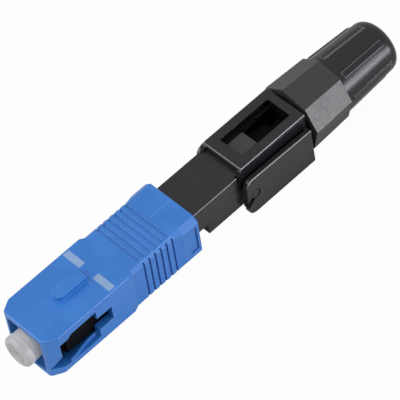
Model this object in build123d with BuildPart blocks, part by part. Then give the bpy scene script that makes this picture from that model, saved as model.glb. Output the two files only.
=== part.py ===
from build123d import *
import os

os.makedirs("parts", exist_ok=True)

# Axes: Y runs from the plug nose to the cable end, Z points to the key side
# Everything is in millimetres and the origin is the centre of the housing's front plane

# Fits and clearances
slide_gap = 0.10
bore_gap = 0.06
guide_gap = 0.08

# Ferrule and its holder
ferrule_diameter = 2.5
ferrule_tip = 1.0
ferrule_length = 10.5
ferrule_tip_bevel = 0.3
ferrule_hole = 0.26
ferrule_float = 0.8
flange_diameter = 4.2
flange_length = 2.4
flange_neck = 3.2
flange_neck_back = 0.4
flange_tube = 1.9
flange_hole = 0.8
spring_wire = 0.32
spring_wire_sides = 8
spring_coil = 2.6
spring_pitch = 1.05
seat_flange = 1.3
seat_length = 3.7
seat_boss = 3.0
seat_hole = 1.9

# Plug frame
plug_front = 2.2
plug_neck_length = 1.2
plug_bore_end = 7.4
plug_web = 0.8
plug_wall = 0.42
plug_front_wall = 0.32
plug_edge = 0.35
plug_headroom = 0.25
plug_recess_length = 2.6
plug_recess_depth = 0.35

# Dust cap
cap_out = 1.85
cap_lip = 0.08
cap_head_length = 1.25
cap_end_gap = 0.8
cap_round = 0.55
cap_dimple = 1.0
cap_dimple_depth = 0.26
cap_boss = 2.3
cap_boss_drop = 0.05
cap_ring_width = 0.36
cap_ring_depth = 0.14

# Widths and walls shared by the housing and the rear body
body_width = 6.66
housing_wall = 1.07
housing_roof = 0.85
housing_floor = 0.65

# Coupling housing outside
block_length = 13.7
grip_length = 8.1
collar_length = 3.9
nose_wall = 0.55
nose_lip = 0.43
nose_run = 1.7
nose_round = 0.7
block_edge = 0.22
grip_inset = 0.20
grip_ramp = 0.8
grip_bevel = 0.45
collar_flare = 1.2
collar_over = 0.14
collar_rise = 0.16
collar_top_bevel = 0.80
collar_bottom_bevel = 1.05
collar_round = 0.35

# Coupling housing hollow
nose_roof = 0.75
nose_web = 1.1

# Key on top of the housing
key_width = 1.95
key_front = 5.4
key_length = 4.7
key_height = 0.9
key_round = 0.85
key_root = 0.3

# Window in each side of the housing
window_front = 1.75
window_step = 7.9
window_rear = 10.35
window_low_roof = 1.65
window_high_roof = 1.1
window_rise_start = 2.9
window_rise_end = 3.8
window_rise_short = 0.08
window_floor = 0.95
window_slot_top = 1.12
window_slot_bottom = -1.27
window_heel = 0.1
post_heel = -0.3
lip_height = 1.5
lip_front = 0.15
ramp_height = 0.4
ramp_thick = 0.26
ramp_front = 3.0
ramp_middle = 2.2
ramp_bend = 0.624
ramp_clear = 0.02
ramp_sunk = 0.05

# Grip grooves
groove_count = 6
groove_pitch = 0.98
groove_margin = 0.4
side_groove_width = 0.32
side_groove_depth = 0.30
side_groove_end = 0.22
top_groove_width = 0.42
top_groove_depth = 0.20
top_groove_end = 0.55

# Plain recessed frame on the collar sides
panel_margin = 0.55
panel_top = 2.5
panel_bottom = -1.9
panel_depth = 0.10
panel_line = 0.26
panel_line_depth = 0.28
panel_line_inset = 1.0
panel_overlap = 0.05

# Rear body
housing_stroke = 2.0
stroke_gap = 0.4
body_overlap = 7.1
waist_overlap = 0.7
waist_bottom = -1.15
body_bottom = -3.05
body_low_gap = 0.45
body_edge = 0.12
lead_hole = 1.6
cavity_front_wall = 2.5
cavity_rear_wall = 0.95
cavity_side_gap = 0.35
roof_thick = 0.8
floor_thick = 0.6
slot_gap = 0.15
ledge_front = 3.1
ledge_length = 3.0
ledge_width = 0.22
ledge_depth = 0.35
floor_pad_width = 2.4
guide_seat = 1.9

# Snap on window cover
cover_front_gap = 6.4
cover_over = 0.09
cover_thick = 1.12
cover_rear_gap = 0.25
cover_skirt = 0.55
cover_skirt_bottom = 0.6
cover_skirt_reach = 0.8
cover_skirt_gap = 0.08
cover_skirt_slope = 0.16
cover_skirt_under = 0.1
cover_seat = 2.0
cover_lip_gap = 0.1
cover_lip_depth = 0.7
cover_round = 0.4
cover_edge = 0.15
cover_window_width = 4.05
cover_border_front = 1.7
cover_border_rear = 1.2
cover_reveal = 0.1

# Slide button in the window
button_width = 2.8
button_length = 3.05
button_travel = 5.0
button_front_gap = 0.35
button_rear_gap = 0.5
button_rise = 0.15
button_edge = 0.08
button_foot_gap = 0.2

# Splice
splice_front_gap = 0.8
splice_rear_gap = 2.0
splice_width = 2.8
splice_base_height = 1.5
splice_lid_height = 0.9
vee_width = 0.5
vee_depth = 0.25
fibre_diameter = 0.25
fibre_gap = 0.3
fibre_room = 0.06
clip_front_inset = 1.6
clip_rear_inset = 1.9
clip_thick = 0.35
clip_open = 1.1
clip_round = 0.28

# Fibre guide behind the splice
guide_reach = 0.85
guide_hole = 0.7
guide_mouth = 1.5
guide_cone = 1.2

# Press lever
pin_back = 1.0
pin_z = -1.15
pin_diameter = 1.3
pin_end_inset = 0.06
hook_gap = 0.18
lever_side_gap = 0.14
lever_arm = 0.72
lever_hub = 1.08
lever_hub_height = 3.4
lever_hub_drop = 0.2
lever_nose = 1.4
lever_hub_back = 1.9
lever_top_front = 2.05
lever_top_rear = 1.7
lever_below_gap = 0.8
lever_web = 0.75
lever_web_back = 1.8
lever_rear_inset = 0.4
lever_heel_inset = 0.2
lever_top_round = 1.3
lever_bottom_round = 1.3
lever_edge = 0.12
lever_slot = 0.86
lever_slot_reach = 4.0
lever_slot_angle = 222.0

# Cable and what grips it
cable_diameter = 3.0
collet_wall = 0.55
collet_gap = 0.4
collet_out = 0.6
collet_split = 0.5
collet_tooth = 0.2
collet_teeth = 3
collet_tooth_width = 0.4
collet_tooth_pitch = 1.2
gasket_wall = 1.05
gasket_squeeze = 0.1
gasket_groove = 0.3
gasket_ring_width = 0.8
gasket_ring_pitch = 1.8
gasket_rings = 2
gasket_front_gap = 1.3
gasket_end_gap = 0.2

# Tail nut and the threaded tail of the body
spigot_diameter = 6.6
thread_depth = 0.25
nut_gap = 0.25
nut_length = 6.7
nut_wall = 1.26
nut_taper = 0.46
nut_turn = 13.4
nut_corner = 0.57
nut_mouth = 0.45
nut_lip = 1.3

# Tail cap
tail_step = 0.22
tail_taper = 0.94
tail_length = 10.2
tail_round = 1.45
tail_ribs = 7
tail_rib_angle = 3.0
tail_rib_width = 0.85
tail_rib_rise = 0.20
tail_rib_front = 0.9
tail_rib_back = 1.8
tail_rib_end_slope = 0.5
tail_plug_length = 1.2
tail_plug_wall = 0.15
tail_end_wall = 3.7
cable_hole_gap = 0.25
cable_hole_flare = 0.4


def station(y):
    """Cross section plane at distance y from the nose."""
    return Plane.XZ.offset(-y)


def bevelled(half_width, top, bottom, top_cut, bottom_cut, turn=0):
    """Rectangle with cut corners, centred across the axis and turned about it."""
    Polygon(
        (-half_width, bottom + bottom_cut),
        (-half_width + bottom_cut, bottom),
        (half_width - bottom_cut, bottom),
        (half_width, bottom + bottom_cut),
        (half_width, top - top_cut),
        (half_width - top_cut, top),
        (-half_width + top_cut, top),
        (-half_width, top - top_cut),
        rotation=turn,
        align=None,
    )


def octagon(flats, corner, turn):
    """Square with cut corners, close to a regular octagon."""
    half = flats / 2
    bevelled(half, half, -half, half * corner, half * corner, turn)


# Plug heights, from the ferrule holder outwards
plug_hollow = flange_diameter + 2 * guide_gap
plug_height = plug_hollow + 2 * plug_wall
plug_bore = plug_height - 2 * plug_front_wall
hollow_top = plug_height / 2 + plug_headroom
hollow_width = body_width + 2 * slide_gap
body_top = hollow_top - slide_gap

# Housing sizes, which come out at the standard 9.0 by 7.4 mm
half_w = hollow_width / 2 + housing_wall
half_h = hollow_top + housing_roof
housing_width = 2 * half_w
housing_height = 2 * half_h
hollow_bottom = housing_floor - half_h
nose_opening_width = hollow_width - 2 * nose_lip
nose_opening_height = 2 * (half_h - nose_roof)
nose_width = nose_opening_width + 2 * nose_wall
collar_start = block_length + grip_length
housing_length = collar_start + collar_length
grip_half_w = half_w - grip_inset
collar_half_w = half_w + collar_over
collar_top = half_h + collar_rise

# Stations along the plug
plug_neck_rear = plug_front + plug_neck_length
plug_rear = housing_length - body_overlap
plug_shoulder = plug_bore_end + plug_web
seat_front = plug_rear - seat_flange
seat_rear = seat_front + seat_length
ferrule_rear = ferrule_tip + ferrule_length
flange_tube_rear = seat_front - ferrule_float - slide_gap

# Stations along the rear body, from the housing to the cover's end
waist_front = housing_length - waist_overlap
deep_front = housing_length + housing_stroke + stroke_gap
cavity_front = deep_front + cavity_front_wall
cover_front = deep_front + cover_front_gap
cover_window_front = cover_front + cover_border_front
slot_front = cover_window_front - cover_reveal
button_front = slot_front + button_front_gap
slot_rear = button_front + button_length + button_travel + button_rear_gap
cover_window_rear = slot_rear - cover_reveal
cover_rear = cover_window_rear + cover_border_rear
body_rear = cover_rear + cover_rear_gap
cavity_rear = body_rear - cavity_rear_wall
splice_front = cavity_front + splice_front_gap
splice_rear = cavity_rear - splice_rear_gap
splice_mid = (splice_front + splice_rear) / 2
clip_front = splice_front + clip_front_inset
clip_rear = splice_rear - clip_rear_inset

# Heights and widths of the rear body
cavity_width = splice_width + 2 * clip_thick + 2 * cavity_side_gap
cavity_roof = body_top - roof_thick
cavity_floor = body_bottom + floor_thick
body_low = hollow_bottom + body_low_gap
cover_width = body_width + 2 * cover_over
cover_top = body_top + cover_thick
slot_width = button_width + 2 * slot_gap
button_top = body_top + button_rise
button_bottom = splice_lid_height + clip_thick + slide_gap
button_foot = cavity_roof - slide_gap - button_bottom
button_foot_width = cavity_width - 2 * button_foot_gap

# Lever round the trunnions
pin_y = cover_front + pin_back
arm_outer = body_width / 2 + lever_side_gap + lever_hub
pin_end = arm_outer - pin_end_inset
lever_front = pin_y - lever_nose
lever_bottom = body_bottom - lever_below_gap - lever_web
lever_heel = body_rear - lever_heel_inset

# Nut, tail cap and what they squeeze on the cable
nut_front = body_rear + nut_gap
nut_rear = nut_front + nut_length
spigot_rear = nut_rear - nut_lip
spigot_bore = cable_diameter + 2 * collet_wall
nut_bore = spigot_diameter / 2 + bore_gap
nut_front_flats = 2 * (nut_bore + nut_wall)
nut_rear_flats = nut_front_flats - nut_taper
tail_front = nut_rear
tail_rear = tail_front + tail_length
tail_front_diameter = nut_rear_flats - tail_step
tail_hollow = cable_diameter + 2 * gasket_wall
tail_hollow_rear = tail_rear - tail_end_wall
nut_throat = tail_hollow + 2 * tail_plug_wall
guide_rear = body_rear + guide_reach
gasket_front = tail_front + gasket_front_gap
gasket_length = tail_hollow_rear - gasket_end_gap - gasket_front
collet_front = guide_rear + collet_gap
collet_rear = spigot_rear + collet_out

# Coupling housing
with BuildPart() as outer_housing:
    with BuildSketch(Plane.XY.offset(-half_h)):
        with BuildLine():
            Polyline(
                (-nose_width / 2, 0),
                (nose_width / 2, 0),
                (half_w, nose_run),
                (half_w, block_length),
                (-half_w, block_length),
                (-half_w, nose_run),
                close=True,
            )
        make_face()
        fillet(vertices().group_by(Axis.Y)[0] + vertices().group_by(Axis.Y)[1], radius=nose_round)
    extrude(amount=housing_height)
    block_long = edges().filter_by(Axis.Y).group_by(Axis.Z)
    fillet(block_long[0] + block_long[-1], radius=block_edge)
    # Grip: its sides step in over a short ramp, and its long edges are bevelled
    with BuildSketch(station(block_length)):
        bevelled(half_w, half_h, -half_h, block_edge / 2, block_edge / 2)
    with BuildSketch(station(block_length + grip_ramp)):
        bevelled(grip_half_w, half_h, -half_h, grip_bevel, grip_bevel)
    loft()
    with BuildSketch(station(block_length + grip_ramp)):
        bevelled(grip_half_w, half_h, -half_h, grip_bevel, grip_bevel)
    extrude(amount=-(grip_length - grip_ramp))
    # Rear collar: a short flare, then a straight part
    with BuildSketch(station(collar_start)):
        bevelled(grip_half_w, half_h, -half_h, grip_bevel, collar_bottom_bevel / 2)
    with BuildSketch(station(collar_start + collar_flare)):
        bevelled(collar_half_w, collar_top, -half_h, collar_top_bevel, collar_bottom_bevel)
    loft()
    with BuildSketch(station(collar_start + collar_flare)):
        bevelled(collar_half_w, collar_top, -half_h, collar_top_bevel, collar_bottom_bevel)
    extrude(amount=-(housing_length - collar_start - collar_flare))
    fillet(edges().group_by(Axis.Y)[-1], radius=collar_round)
    # Hollow and nose opening
    with BuildSketch(station(nose_web)):
        with Locations((0, (hollow_top + hollow_bottom) / 2)):
            Rectangle(hollow_width, hollow_top - hollow_bottom)
    extrude(amount=-housing_length, mode=Mode.SUBTRACT)
    with BuildSketch(station(0)):
        Rectangle(nose_opening_width, nose_opening_height)
    extrude(amount=-2 * nose_web, mode=Mode.SUBTRACT)
    # Side windows, front region and narrower rear slot
    window_bottom = window_floor - half_h
    with BuildSketch(Plane.YZ):
        with BuildLine():
            rise = Spline(
                (window_rise_start, half_h - window_low_roof),
                (window_rise_end, half_h - window_high_roof - window_rise_short),
                tangents=((1, 0), (1, 0.05)),
            )
            Polyline(
                rise @ 1,
                (window_step, half_h - window_high_roof),
                (window_step, window_slot_top),
                (window_rear, window_slot_top),
                (window_rear, window_slot_bottom),
                (window_step + window_heel, window_slot_bottom),
                (window_step + window_heel, window_bottom),
                (ramp_front, window_bottom),
                (lip_front, lip_height - half_h),
                (window_front, post_heel),
                (window_front, half_h - window_low_roof),
                rise @ 0,
            )
        make_face()
    extrude(amount=housing_width, both=True, mode=Mode.SUBTRACT)
    # Ramp walls on the lower lips
    ramp_inner = hollow_width / 2 + ramp_thick / 2 + ramp_clear
    with BuildSketch(Plane.XY.offset(window_bottom - ramp_sunk)):
        for side in (-1, 1):
            with BuildLine() as ramp_line:
                Spline(
                    (side * (half_w - ramp_thick), ramp_front),
                    (side * (half_w - ramp_bend), ramp_front + ramp_middle),
                    (side * ramp_inner, window_step + 2 * window_heel),
                    tangents=((0, 1), (0, 1)),
                )
            trace(lines=ramp_line.edges(), line_width=ramp_thick)
    extrude(amount=ramp_height + ramp_sunk)
    # Key
    with BuildSketch(Plane.XY.offset(half_h - key_root)):
        with Locations((0, key_front + key_length / 2)):
            Rectangle(key_width, key_length)
        fillet(vertices().group_by(Axis.Y)[0], radius=key_round)
    extrude(amount=key_height + key_root)
    # Grip grooves on the sides, then above and below
    groove_mid = collar_start - groove_margin - (groove_count - 1) * groove_pitch / 2
    for side in (-1, 1):
        with BuildSketch(Plane.YZ.offset(side * grip_half_w)):
            with Locations((groove_mid, 0)):
                with GridLocations(groove_pitch, 1, groove_count, 1):
                    Rectangle(side_groove_width, 2 * (half_h - side_groove_end))
        extrude(amount=-side * side_groove_depth, mode=Mode.SUBTRACT)
    for side in (-1, 1):
        with BuildSketch(Plane.XY.offset(side * half_h)):
            with Locations((0, groove_mid - top_groove_width / 2)):
                with GridLocations(1, groove_pitch, 1, groove_count):
                    Rectangle(2 * (grip_half_w - top_groove_end), top_groove_width)
        extrude(amount=-side * top_groove_depth, mode=Mode.SUBTRACT)
    # Plain recessed panel with one deeper bent line on each collar side
    panel_front = collar_start + collar_flare - panel_overlap
    panel_rear = housing_length - panel_margin
    panel_mid = ((panel_front + panel_rear) / 2, (panel_top + panel_bottom) / 2)
    panel_size = (panel_rear - panel_front, panel_top - panel_bottom)
    for side in (-1, 1):
        with BuildSketch(Plane.YZ.offset(side * collar_half_w)):
            with Locations(panel_mid):
                Rectangle(*panel_size)
        extrude(amount=-side * panel_depth, mode=Mode.SUBTRACT)
        with BuildSketch(Plane.YZ.offset(side * collar_half_w)):
            with Locations((panel_rear - panel_line / 2, panel_mid[1])):
                Rectangle(panel_line, panel_size[1])
            with Locations((panel_mid[0] + panel_line_inset / 2, panel_bottom + panel_line / 2)):
                Rectangle(panel_size[0] - panel_line_inset, panel_line)
        extrude(amount=-side * panel_line_depth, mode=Mode.SUBTRACT)
outer_housing.part.label = "outer_housing"
export_step(outer_housing.part, "parts/outer_housing.step")

# Plug frame inside the housing
plug_recess_mid = plug_shoulder + flange_length / 2 + plug_edge
with BuildPart() as plug_frame:
    with BuildSketch(station(plug_neck_rear)):
        Rectangle(body_width, plug_height)
    extrude(amount=-(plug_rear - plug_neck_rear))
    chamfer(edges().filter_by(Axis.Y), length=plug_edge)
    with BuildSketch(station(plug_front)):
        Rectangle(nose_opening_width - 2 * slide_gap, plug_height)
        chamfer(vertices(), length=plug_edge)
    extrude(amount=-(plug_neck_rear - plug_front))
    with BuildSketch(station(plug_front)):
        Circle(plug_bore / 2)
    extrude(amount=-(plug_bore_end - plug_front), mode=Mode.SUBTRACT)
    with BuildSketch(station(plug_front)):
        Circle(ferrule_diameter / 2 + 2 * bore_gap)
    extrude(amount=-(plug_rear - plug_front), mode=Mode.SUBTRACT)
    with BuildSketch(station(plug_shoulder)):
        Circle(plug_hollow / 2)
    extrude(amount=-(plug_rear - plug_shoulder), mode=Mode.SUBTRACT)
    for side in (-1, 1):
        with BuildSketch(Plane.YZ.offset(side * body_width / 2)):
            with Locations((plug_recess_mid, 0)):
                Rectangle(plug_recess_length, plug_height / 2)
        extrude(amount=-side * plug_recess_depth, mode=Mode.SUBTRACT)
plug_frame.part.label = "plug_frame"
export_step(plug_frame.part, "parts/plug_frame.step")

# Ceramic ferrule
with BuildPart() as ferrule:
    with BuildSketch(Plane.XY):
        with BuildLine():
            Polyline(
                (ferrule_hole / 2, ferrule_tip),
                (ferrule_diameter / 2 - ferrule_tip_bevel, ferrule_tip),
                (ferrule_diameter / 2, ferrule_tip + 2 * ferrule_tip_bevel),
                (ferrule_diameter / 2, ferrule_rear),
                (ferrule_hole / 2, ferrule_rear),
                close=True,
            )
        make_face()
    revolve(axis=Axis.Y)
ferrule.part.label = "ferrule"
export_step(ferrule.part, "parts/ferrule.step")

# Ferrule holder: flange against the plug shoulder and a tube for the spring
flange_rear = plug_shoulder + flange_length
neck_rear = ferrule_rear + flange_neck_back
with BuildPart() as ferrule_flange:
    with BuildSketch(Plane.XY):
        with BuildLine():
            Polyline(
                (ferrule_diameter / 2, plug_shoulder),
                (flange_diameter / 2, plug_shoulder),
                (flange_diameter / 2, flange_rear),
                (flange_neck / 2, flange_rear),
                (flange_neck / 2, neck_rear),
                (flange_tube / 2, neck_rear),
                (flange_tube / 2, flange_tube_rear),
                (flange_hole / 2, flange_tube_rear),
                (flange_hole / 2, ferrule_rear),
                (ferrule_diameter / 2, ferrule_rear),
                close=True,
            )
        make_face()
    revolve(axis=Axis.Y)
ferrule_flange.part.label = "ferrule_flange"
export_step(ferrule_flange.part, "parts/ferrule_flange.step")

# Ferrule spring between the holder and its seat
spring_front = neck_rear + spring_wire / 2
spring_length = seat_front - spring_wire / 2 - spring_front
with BuildPart() as ferrule_spring:
    with BuildLine() as coil:
        Helix(
            pitch=spring_pitch,
            height=spring_length,
            radius=spring_coil / 2,
            center=(0, spring_front, 0),
            direction=(0, 1, 0),
        )
    with BuildSketch(Plane(origin=coil.line @ 0, z_dir=coil.line % 0)):
        RegularPolygon(spring_wire / 2, spring_wire_sides)
    sweep(path=coil.line)
ferrule_spring.part.label = "ferrule_spring"
export_step(ferrule_spring.part, "parts/ferrule_spring.step")

# Spring seat joining the plug frame to the rear body
with BuildPart() as spring_seat:
    with BuildSketch(station(seat_front)):
        Circle(plug_hollow / 2)
    extrude(amount=-seat_flange)
    with BuildSketch(station(seat_front + seat_flange)):
        Circle(seat_boss / 2)
    extrude(amount=-(seat_length - seat_flange))
    with BuildSketch(station(seat_front)):
        Circle(seat_hole / 2)
    extrude(amount=-seat_length, mode=Mode.SUBTRACT)
spring_seat.part.label = "spring_seat"
export_step(spring_seat.part, "parts/spring_seat.step")

# Dust cap over the ferrule
cap_front = -cap_out
cap_body = plug_bore - 2 * guide_gap
cap_head = cap_body + 2 * cap_lip
cap_rear = plug_bore_end - cap_end_gap
cap_bore_front = ferrule_tip - cap_end_gap
cap_neck = cap_front + cap_head_length
with BuildPart() as dust_cap:
    with BuildSketch(Plane.XY):
        with BuildLine():
            Polyline(
                (0, cap_front + cap_dimple_depth),
                (cap_dimple / 2, cap_front + cap_dimple_depth),
                (cap_dimple / 2 + cap_dimple_depth, cap_front + cap_boss_drop),
                (cap_boss / 2, cap_front + cap_boss_drop),
                (cap_boss / 2 + cap_ring_width / 2, cap_front + cap_ring_depth),
                (cap_boss / 2 + cap_ring_width, cap_front),
                (cap_head / 2, cap_front),
                (cap_head / 2, cap_neck),
                (cap_body / 2, cap_neck + cap_lip),
                (cap_body / 2, cap_rear),
                (ferrule_diameter / 2 + bore_gap, cap_rear),
                (ferrule_diameter / 2 + bore_gap, cap_bore_front),
                (0, cap_bore_front),
                close=True,
            )
        make_face()
        fillet(vertices().sort_by(Axis.Y).group_by(Axis.Y)[0].sort_by(Axis.X)[-1], radius=cap_round)
    revolve(axis=Axis.Y)
dust_cap.part.label = "dust_cap"
export_step(dust_cap.part, "parts/dust_cap.step")

# Rear body: neck, waist, deep box with the splice cavity, trunnions and threaded tail
skirt_inner = cover_width / 2 - cover_skirt
seat_start = cover_front - cover_skirt_reach
ledge_mid = cover_window_front + ledge_front + ledge_length / 2
with BuildPart() as main_body:
    with BuildSketch(station(plug_rear)):
        with Locations((0, (body_top + body_low) / 2)):
            Rectangle(body_width, body_top - body_low)
    extrude(amount=-(waist_front - plug_rear))
    with BuildSketch(station(waist_front)):
        with Locations((0, (body_top + waist_bottom) / 2)):
            Rectangle(body_width, body_top - waist_bottom)
    extrude(amount=-(deep_front - waist_front))
    with BuildSketch(station(deep_front)):
        with Locations((0, (body_top + body_bottom) / 2)):
            Rectangle(body_width, body_top - body_bottom)
    extrude(amount=-(body_rear - deep_front))
    top_long = edges().filter_by(Axis.Y).group_by(Axis.Z)[-1]
    fillet(top_long, radius=body_edge)
    # Sides cut back for the cover's skirts
    for side in (-1, 1):
        with BuildSketch(Plane.XY.offset(cover_skirt_bottom - cover_skirt_under)):
            with Locations((side * (skirt_inner + cover_seat / 2), (seat_start + body_rear) / 2)):
                Rectangle(cover_seat, body_rear - seat_start)
        extrude(amount=body_top, mode=Mode.SUBTRACT)
    # Splice cavity, slot for the slide button and the opening of the floor
    with BuildSketch(Plane.XY.offset(cavity_floor)):
        with Locations((0, (cavity_front + cavity_rear) / 2)):
            Rectangle(cavity_width, cavity_rear - cavity_front)
    extrude(amount=cavity_roof - cavity_floor, mode=Mode.SUBTRACT)
    with BuildSketch(Plane.XY.offset(cavity_roof)):
        with Locations((0, (slot_front + slot_rear) / 2)):
            Rectangle(slot_width, slot_rear - slot_front)
    extrude(amount=body_top, mode=Mode.SUBTRACT)
    for side in (-1, 1):
        with BuildSketch(Plane.XY.offset(body_top - ledge_depth)):
            with Locations((side * (slot_width + ledge_width) / 2, ledge_mid)):
                Rectangle(ledge_width, ledge_length)
        extrude(amount=body_top, mode=Mode.SUBTRACT)
    with BuildSketch(Plane.XY.offset(body_bottom)):
        with Locations((0, (cavity_front + cavity_rear) / 2)):
            Rectangle(cavity_width, cavity_rear - cavity_front)
    extrude(amount=cavity_floor - body_bottom, mode=Mode.SUBTRACT)
    # Tail for the nut, at the root of its thread
    with BuildSketch(station(body_rear)):
        Circle(spigot_diameter / 2 - thread_depth)
    extrude(amount=-(spigot_rear - body_rear))
    # Bores: seat boss in front, lead hole, fibre guide and collet at the rear
    with BuildSketch(station(plug_rear)):
        Circle(seat_boss / 2)
    extrude(amount=-(seat_rear - plug_rear), mode=Mode.SUBTRACT)
    with BuildSketch(station(seat_rear)):
        Circle(lead_hole / 2)
    extrude(amount=-(cavity_front - seat_rear), mode=Mode.SUBTRACT)
    with BuildSketch(station(cavity_rear)):
        Circle(guide_seat / 2)
    extrude(amount=-(spigot_rear - cavity_rear), mode=Mode.SUBTRACT)
    with BuildSketch(station(guide_rear)):
        Circle(spigot_bore / 2)
    extrude(amount=-(spigot_rear - guide_rear), mode=Mode.SUBTRACT)
    # Trunnions for the press lever
    pin_root = cavity_width / 2 + pin_end_inset
    for side in (-1, 1):
        with BuildSketch(Plane.YZ.offset(side * pin_root)):
            with Locations((pin_y, pin_z)):
                Circle(pin_diameter / 2)
        extrude(amount=side * (pin_end - pin_root))
main_body.part.label = "main_body"
export_step(main_body.part, "parts/main_body.step")

# Floor under the splice cavity, with a pad that carries the clip
clip_bottom = -splice_base_height - clip_thick
with BuildPart() as body_floor:
    with BuildSketch(Plane.XY.offset(body_bottom)):
        with Locations((0, (cavity_front + cavity_rear) / 2)):
            Rectangle(cavity_width, cavity_rear - cavity_front)
    extrude(amount=cavity_floor - body_bottom)
    with BuildSketch(Plane.XY.offset(cavity_floor)):
        with Locations((0, (clip_front + clip_rear) / 2)):
            Rectangle(floor_pad_width, clip_rear - clip_front)
    extrude(amount=clip_bottom - cavity_floor)
body_floor.part.label = "body_floor"
export_step(body_floor.part, "parts/body_floor.step")

# Splice base with its vee groove
with BuildPart() as splice_base:
    with BuildSketch(Plane.XY.offset(-splice_base_height)):
        with Locations((0, splice_mid)):
            Rectangle(splice_width, splice_rear - splice_front)
    extrude(amount=splice_base_height)
    with BuildSketch(station(splice_front)):
        Polygon((-vee_width / 2, 0), (0, -vee_depth), (vee_width / 2, 0), align=None)
    extrude(amount=-(splice_rear - splice_front), mode=Mode.SUBTRACT)
splice_base.part.label = "splice_base"
export_step(splice_base.part, "parts/splice_base.step")

# Splice lid, relieved over the fibre
with BuildPart() as splice_lid:
    with BuildSketch(Plane.XY):
        with Locations((0, splice_mid)):
            Rectangle(splice_width, splice_rear - splice_front)
    extrude(amount=splice_lid_height)
    with BuildSketch(station(splice_front)):
        with Locations((0, fibre_diameter / 4)):
            Rectangle(fibre_diameter + fibre_room, fibre_diameter / 2 + fibre_room)
    extrude(amount=-(splice_rear - splice_front), mode=Mode.SUBTRACT)
splice_lid.part.label = "splice_lid"
export_step(splice_lid.part, "parts/splice_lid.step")

# Spring steel clip that squeezes the splice, open on one side
clip_half = splice_width / 2 + clip_thick
with BuildPart() as splice_clip:
    with BuildSketch(station(clip_front)):
        with Locations(((clip_open - clip_half) / 2, (splice_lid_height - splice_base_height) / 2)):
            Rectangle(clip_open + clip_half, splice_lid_height + splice_base_height + 2 * clip_thick)
        with Locations((0, (splice_lid_height - splice_base_height) / 2)):
            Rectangle(splice_width, splice_lid_height + splice_base_height, mode=Mode.SUBTRACT)
    extrude(amount=-(clip_rear - clip_front))
    clip_corners = edges().filter_by(Axis.Y).group_by(Axis.X)[0]
    fillet(clip_corners, radius=clip_round)
splice_clip.part.label = "splice_clip"
export_step(splice_clip.part, "parts/splice_clip.step")

# Fibre stub from the ferrule to the middle of the splice
fibre_front = ferrule_rear + fibre_gap
with BuildPart() as fibre_stub:
    with BuildSketch(station(fibre_front)):
        Circle(fibre_diameter / 2)
    extrude(amount=-(splice_mid - fibre_front))
fibre_stub.part.label = "fibre_stub"
export_step(fibre_stub.part, "parts/fibre_stub.step")

# Funnel that leads the field fibre into the splice
guide_front = splice_rear + slide_gap
with BuildPart() as fibre_guide:
    with BuildSketch(Plane.XY):
        with BuildLine():
            Polyline(
                (guide_hole / 2, guide_front),
                (guide_seat / 2, guide_front),
                (guide_seat / 2, guide_rear),
                (guide_mouth / 2, guide_rear),
                (guide_hole / 2, guide_rear - guide_cone),
                close=True,
            )
        make_face()
    revolve(axis=Axis.Y)
fibre_guide.part.label = "fibre_guide"
export_step(fibre_guide.part, "parts/fibre_guide.step")

# Window cover: a plate with a window, and two skirts whose front edges slope forward
skirt_front = seat_start + cover_skirt_gap
skirt_middle = (body_top + cover_skirt_bottom) / 2
with BuildPart() as window_cover:
    with BuildSketch(station(skirt_front)):
        with Locations((0, (cover_top + cover_skirt_bottom) / 2)):
            Rectangle(cover_width, cover_top - cover_skirt_bottom)
        fillet(vertices().group_by(Axis.Y)[-1], radius=cover_edge)
        with Locations((0, skirt_middle)):
            Rectangle(2 * skirt_inner, body_top - cover_skirt_bottom, mode=Mode.SUBTRACT)
    extrude(amount=-(cover_rear - skirt_front))
    # Side outline of the front, then the plate alone is cut back square
    with BuildSketch(Plane.YZ):
        with BuildLine():
            nose = CenterArc((cover_front + cover_round, cover_top - cover_round), cover_round, 90, 90)
            Polyline(
                nose @ 1,
                (skirt_front + cover_skirt_slope, body_top),
                (skirt_front, skirt_middle),
                (skirt_front - cover_edge, skirt_middle),
                (skirt_front - cover_edge, cover_top + cover_edge),
                (cover_front + cover_round, cover_top + cover_edge),
                nose @ 0,
            )
        make_face()
    extrude(amount=cover_width, both=True, mode=Mode.SUBTRACT)
    with BuildSketch(Plane.XY.offset(body_top)):
        with Locations((0, (skirt_front + cover_front) / 2)):
            Rectangle(2 * skirt_inner, cover_front - skirt_front)
    extrude(amount=cover_top, mode=Mode.SUBTRACT)
    # Gap under the front lip
    with BuildSketch(Plane.XY.offset(body_top)):
        with Locations((0, cover_front + cover_lip_depth / 2)):
            Rectangle(2 * skirt_inner, cover_lip_depth)
    extrude(amount=cover_lip_gap, mode=Mode.SUBTRACT)
    # Window
    with BuildSketch(Plane.XY.offset(body_top)):
        with Locations((0, (cover_window_front + cover_window_rear) / 2)):
            Rectangle(cover_window_width, cover_window_rear - cover_window_front)
    extrude(amount=cover_top, mode=Mode.SUBTRACT)
window_cover.part.label = "window_cover"
export_step(window_cover.part, "parts/window_cover.step")

# Slide button with a wider foot under the body's roof
with BuildPart() as slide_button:
    with BuildSketch(Plane.XY.offset(button_bottom)):
        with Locations((0, button_front + button_length / 2)):
            Rectangle(button_foot_width, button_length)
    extrude(amount=button_foot)
    with BuildSketch(Plane.XY.offset(button_bottom + button_foot)):
        with Locations((0, button_front + button_length / 2)):
            Rectangle(button_width, button_length)
    extrude(amount=button_top - button_bottom - button_foot)
    chamfer(edges().group_by(Axis.Z)[-1], length=button_edge)
slide_button.part.label = "slide_button"
export_step(slide_button.part, "parts/slide_button.step")

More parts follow.
